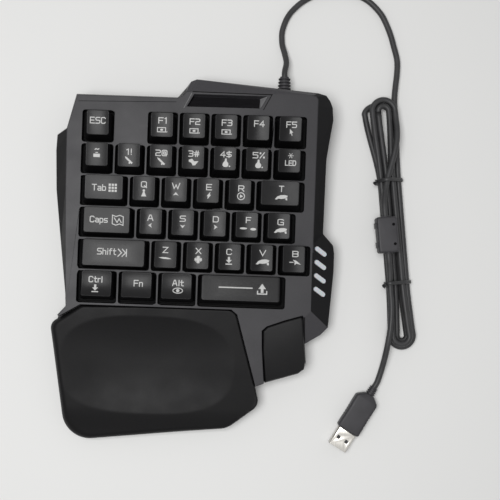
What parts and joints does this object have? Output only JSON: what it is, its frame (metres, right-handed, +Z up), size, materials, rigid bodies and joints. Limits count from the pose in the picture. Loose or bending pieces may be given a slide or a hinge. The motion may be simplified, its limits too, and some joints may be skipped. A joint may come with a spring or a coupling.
{
  "type": "gaming keypad",
  "caption": "One-handed half keyboard with tapered keys in a ribbed deck, a wide palm rest, a thumb rest, slanted side light bars and a tied cable with a plug.",
  "frame": {"origin": "centre of the footprint of the keyboard without its cable, on the desk surface", "axes": "+X to the user's right, +Y from the palm rest towards the rear edge, +Z up from the desk"},
  "size_m": [0.2271, 0.2907, 0.035],
  "materials": {
    "shell_black": "fine-textured moulded ABS",
    "cap_black": "satin moulded key plastic",
    "palm_black": "smooth satin moulded ABS",
    "inner_black": "plain moulded plastic",
    "light_white": "milky light guide",
    "dome_white": "silicone rubber",
    "membrane_clear": "printed polyester film",
    "plate_steel": "plain sheet steel",
    "board_green": "glass-fibre circuit board",
    "foot_rubber": "soft black rubber",
    "cord_black": "satin PVC",
    "plug_metal": "bright nickel-plated steel"
  },
  "bodies": {
    "keypad": {"top_case": "shell_black", "bottom_case": "shell_black", "palm_rest": "palm_black", "thumb_rest": "palm_black", "side_light_guide": "light_white", "key_guide_frame": "inner_black", "dome_sheet": "dome_white", "membrane_sheet": "membrane_clear", "back_plate": "plate_steel", "controller_board": "board_green", "rubber_foot_front_left": "foot_rubber", "rubber_foot_front_right": "foot_rubber", "rubber_foot_rear_left": "foot_rubber", "rubber_foot_rear_right": "foot_rubber", "strain_relief": "cord_black", "cable_lead": "cord_black", "cable_hank": "cord_black", "cable_tail": "cord_black", "ferrite_choke": "cord_black", "usb_plug_body": "cord_black", "usb_shell": "plug_metal", "tie_upper": "foot_rubber", "tie_lower": "foot_rubber"},
    "fold_foot_left": {"tilt_foot_left": "shell_black"},
    "fold_foot_right": {"tilt_foot_right": "shell_black"},
    "cap_esc": {"key_esc": "cap_black"},
    "cap_f1": {"key_f1": "cap_black"},
    "cap_f2": {"key_f2": "cap_black"},
    "cap_f3": {"key_f3": "cap_black"},
    "cap_f4": {"key_f4": "cap_black"},
    "cap_f5": {"key_f5": "cap_black"},
    "cap_grave": {"key_grave": "cap_black"},
    "cap_1": {"key_1": "cap_black"},
    "cap_2": {"key_2": "cap_black"},
    "cap_3": {"key_3": "cap_black"},
    "cap_4": {"key_4": "cap_black"},
    "cap_5": {"key_5": "cap_black"},
    "cap_mode": {"key_mode": "cap_black"},
    "cap_tab": {"key_tab": "cap_black"},
    "cap_q": {"key_q": "cap_black"},
    "cap_w": {"key_w": "cap_black"},
    "cap_e": {"key_e": "cap_black"},
    "cap_r": {"key_r": "cap_black"},
    "cap_t": {"key_t": "cap_black"},
    "cap_caps": {"key_caps": "cap_black"},
    "cap_a": {"key_a": "cap_black"},
    "cap_s": {"key_s": "cap_black"},
    "cap_d": {"key_d": "cap_black"},
    "cap_f": {"key_f": "cap_black"},
    "cap_g": {"key_g": "cap_black"},
    "cap_shift": {"key_shift": "cap_black"},
    "cap_z": {"key_z": "cap_black"},
    "cap_x": {"key_x": "cap_black"},
    "cap_c": {"key_c": "cap_black"},
    "cap_v": {"key_v": "cap_black"},
    "cap_b": {"key_b": "cap_black"},
    "cap_ctrl": {"key_ctrl": "cap_black"},
    "cap_fn": {"key_fn": "cap_black"},
    "cap_alt": {"key_alt": "cap_black"},
    "cap_space": {"key_space": "cap_black"}
  },
  "joints": [
    {"name": "fold_left", "type": "hinge", "parent": "keypad", "child": "fold_foot_left", "pos_m": [-0.05139, 0.09046, 0.00325], "axis": [1, 0, 0], "range_deg": [0, 95]},
    {"name": "fold_right", "type": "hinge", "parent": "keypad", "child": "fold_foot_right", "pos_m": [0.05139, 0.09046, 0.00325], "axis": [1, 0, 0], "range_deg": [0, 95]},
    {"name": "press_esc", "type": "slide", "parent": "keypad", "child": "cap_esc", "axis": [0, 0.0523, -0.9986], "range_m": [0, 0.0035], "stiffness_N_per_m": 120, "springref_m": -0.002, "deforming": ["dome_sheet"]},
    {"name": "press_f1", "type": "slide", "parent": "keypad", "child": "cap_f1", "axis": [0, 0.0523, -0.9986], "range_m": [0, 0.0035], "stiffness_N_per_m": 120, "springref_m": -0.002, "deforming": ["dome_sheet"]},
    {"name": "press_f2", "type": "slide", "parent": "keypad", "child": "cap_f2", "axis": [0, 0.0523, -0.9986], "range_m": [0, 0.0035], "stiffness_N_per_m": 120, "springref_m": -0.002, "deforming": ["dome_sheet"]},
    {"name": "press_f3", "type": "slide", "parent": "keypad", "child": "cap_f3", "axis": [0, 0.0523, -0.9986], "range_m": [0, 0.0035], "stiffness_N_per_m": 120, "springref_m": -0.002, "deforming": ["dome_sheet"]},
    {"name": "press_f4", "type": "slide", "parent": "keypad", "child": "cap_f4", "axis": [0, 0.0523, -0.9986], "range_m": [0, 0.0035], "stiffness_N_per_m": 120, "springref_m": -0.002, "deforming": ["dome_sheet"]},
    {"name": "press_f5", "type": "slide", "parent": "keypad", "child": "cap_f5", "axis": [0, 0.0523, -0.9986], "range_m": [0, 0.0035], "stiffness_N_per_m": 120, "springref_m": -0.002, "deforming": ["dome_sheet"]},
    {"name": "press_grave", "type": "slide", "parent": "keypad", "child": "cap_grave", "axis": [0, 0.0523, -0.9986], "range_m": [0, 0.0035], "stiffness_N_per_m": 120, "springref_m": -0.002, "deforming": ["dome_sheet"]},
    {"name": "press_1", "type": "slide", "parent": "keypad", "child": "cap_1", "axis": [0, 0.0523, -0.9986], "range_m": [0, 0.0035], "stiffness_N_per_m": 120, "springref_m": -0.002, "deforming": ["dome_sheet"]},
    {"name": "press_2", "type": "slide", "parent": "keypad", "child": "cap_2", "axis": [0, 0.0523, -0.9986], "range_m": [0, 0.0035], "stiffness_N_per_m": 120, "springref_m": -0.002, "deforming": ["dome_sheet"]},
    {"name": "press_3", "type": "slide", "parent": "keypad", "child": "cap_3", "axis": [0, 0.0523, -0.9986], "range_m": [0, 0.0035], "stiffness_N_per_m": 120, "springref_m": -0.002, "deforming": ["dome_sheet"]},
    {"name": "press_4", "type": "slide", "parent": "keypad", "child": "cap_4", "axis": [0, 0.0523, -0.9986], "range_m": [0, 0.0035], "stiffness_N_per_m": 120, "springref_m": -0.002, "deforming": ["dome_sheet"]},
    {"name": "press_5", "type": "slide", "parent": "keypad", "child": "cap_5", "axis": [0, 0.0523, -0.9986], "range_m": [0, 0.0035], "stiffness_N_per_m": 120, "springref_m": -0.002, "deforming": ["dome_sheet"]},
    {"name": "press_mode", "type": "slide", "parent": "keypad", "child": "cap_mode", "axis": [0, 0.0523, -0.9986], "range_m": [0, 0.0035], "stiffness_N_per_m": 120, "springref_m": -0.002, "deforming": ["dome_sheet"]},
    {"name": "press_tab", "type": "slide", "parent": "keypad", "child": "cap_tab", "axis": [0, 0.0523, -0.9986], "range_m": [0, 0.0035], "stiffness_N_per_m": 120, "springref_m": -0.002, "deforming": ["dome_sheet"]},
    {"name": "press_q", "type": "slide", "parent": "keypad", "child": "cap_q", "axis": [0, 0.0523, -0.9986], "range_m": [0, 0.0035], "stiffness_N_per_m": 120, "springref_m": -0.002, "deforming": ["dome_sheet"]},
    {"name": "press_w", "type": "slide", "parent": "keypad", "child": "cap_w", "axis": [0, 0.0523, -0.9986], "range_m": [0, 0.0035], "stiffness_N_per_m": 120, "springref_m": -0.002, "deforming": ["dome_sheet"]},
    {"name": "press_e", "type": "slide", "parent": "keypad", "child": "cap_e", "axis": [0, 0.0523, -0.9986], "range_m": [0, 0.0035], "stiffness_N_per_m": 120, "springref_m": -0.002, "deforming": ["dome_sheet"]},
    {"name": "press_r", "type": "slide", "parent": "keypad", "child": "cap_r", "axis": [0, 0.0523, -0.9986], "range_m": [0, 0.0035], "stiffness_N_per_m": 120, "springref_m": -0.002, "deforming": ["dome_sheet"]},
    {"name": "press_t", "type": "slide", "parent": "keypad", "child": "cap_t", "axis": [0, 0.0523, -0.9986], "range_m": [0, 0.0035], "stiffness_N_per_m": 120, "springref_m": -0.002, "deforming": ["dome_sheet"]},
    {"name": "press_caps", "type": "slide", "parent": "keypad", "child": "cap_caps", "axis": [0, 0.0523, -0.9986], "range_m": [0, 0.0035], "stiffness_N_per_m": 120, "springref_m": -0.002, "deforming": ["dome_sheet"]},
    {"name": "press_a", "type": "slide", "parent": "keypad", "child": "cap_a", "axis": [0, 0.0523, -0.9986], "range_m": [0, 0.0035], "stiffness_N_per_m": 120, "springref_m": -0.002, "deforming": ["dome_sheet"]},
    {"name": "press_s", "type": "slide", "parent": "keypad", "child": "cap_s", "axis": [0, 0.0523, -0.9986], "range_m": [0, 0.0035], "stiffness_N_per_m": 120, "springref_m": -0.002, "deforming": ["dome_sheet"]},
    {"name": "press_d", "type": "slide", "parent": "keypad", "child": "cap_d", "axis": [0, 0.0523, -0.9986], "range_m": [0, 0.0035], "stiffness_N_per_m": 120, "springref_m": -0.002, "deforming": ["dome_sheet"]},
    {"name": "press_f", "type": "slide", "parent": "keypad", "child": "cap_f", "axis": [0, 0.0523, -0.9986], "range_m": [0, 0.0035], "stiffness_N_per_m": 120, "springref_m": -0.002, "deforming": ["dome_sheet"]},
    {"name": "press_g", "type": "slide", "parent": "keypad", "child": "cap_g", "axis": [0, 0.0523, -0.9986], "range_m": [0, 0.0035], "stiffness_N_per_m": 120, "springref_m": -0.002, "deforming": ["dome_sheet"]},
    {"name": "press_shift", "type": "slide", "parent": "keypad", "child": "cap_shift", "axis": [0, 0.0523, -0.9986], "range_m": [0, 0.0035], "stiffness_N_per_m": 120, "springref_m": -0.002, "deforming": ["dome_sheet"]},
    {"name": "press_z", "type": "slide", "parent": "keypad", "child": "cap_z", "axis": [0, 0.0523, -0.9986], "range_m": [0, 0.0035], "stiffness_N_per_m": 120, "springref_m": -0.002, "deforming": ["dome_sheet"]},
    {"name": "press_x", "type": "slide", "parent": "keypad", "child": "cap_x", "axis": [0, 0.0523, -0.9986], "range_m": [0, 0.0035], "stiffness_N_per_m": 120, "springref_m": -0.002, "deforming": ["dome_sheet"]},
    {"name": "press_c", "type": "slide", "parent": "keypad", "child": "cap_c", "axis": [0, 0.0523, -0.9986], "range_m": [0, 0.0035], "stiffness_N_per_m": 120, "springref_m": -0.002, "deforming": ["dome_sheet"]},
    {"name": "press_v", "type": "slide", "parent": "keypad", "child": "cap_v", "axis": [0, 0.0523, -0.9986], "range_m": [0, 0.0035], "stiffness_N_per_m": 120, "springref_m": -0.002, "deforming": ["dome_sheet"]},
    {"name": "press_b", "type": "slide", "parent": "keypad", "child": "cap_b", "axis": [0, 0.0523, -0.9986], "range_m": [0, 0.0035], "stiffness_N_per_m": 120, "springref_m": -0.002, "deforming": ["dome_sheet"]},
    {"name": "press_ctrl", "type": "slide", "parent": "keypad", "child": "cap_ctrl", "axis": [0, 0.0523, -0.9986], "range_m": [0, 0.0035], "stiffness_N_per_m": 120, "springref_m": -0.002, "deforming": ["dome_sheet"]},
    {"name": "press_fn", "type": "slide", "parent": "keypad", "child": "cap_fn", "axis": [0, 0.0523, -0.9986], "range_m": [0, 0.0035], "stiffness_N_per_m": 120, "springref_m": -0.002, "deforming": ["dome_sheet"]},
    {"name": "press_alt", "type": "slide", "parent": "keypad", "child": "cap_alt", "axis": [0, 0.0523, -0.9986], "range_m": [0, 0.0035], "stiffness_N_per_m": 120, "springref_m": -0.002, "deforming": ["dome_sheet"]},
    {"name": "press_space", "type": "slide", "parent": "keypad", "child": "cap_space", "axis": [0, 0.0523, -0.9986], "range_m": [0, 0.0035], "stiffness_N_per_m": 120, "springref_m": -0.002, "deforming": ["dome_sheet"]}
  ]
}
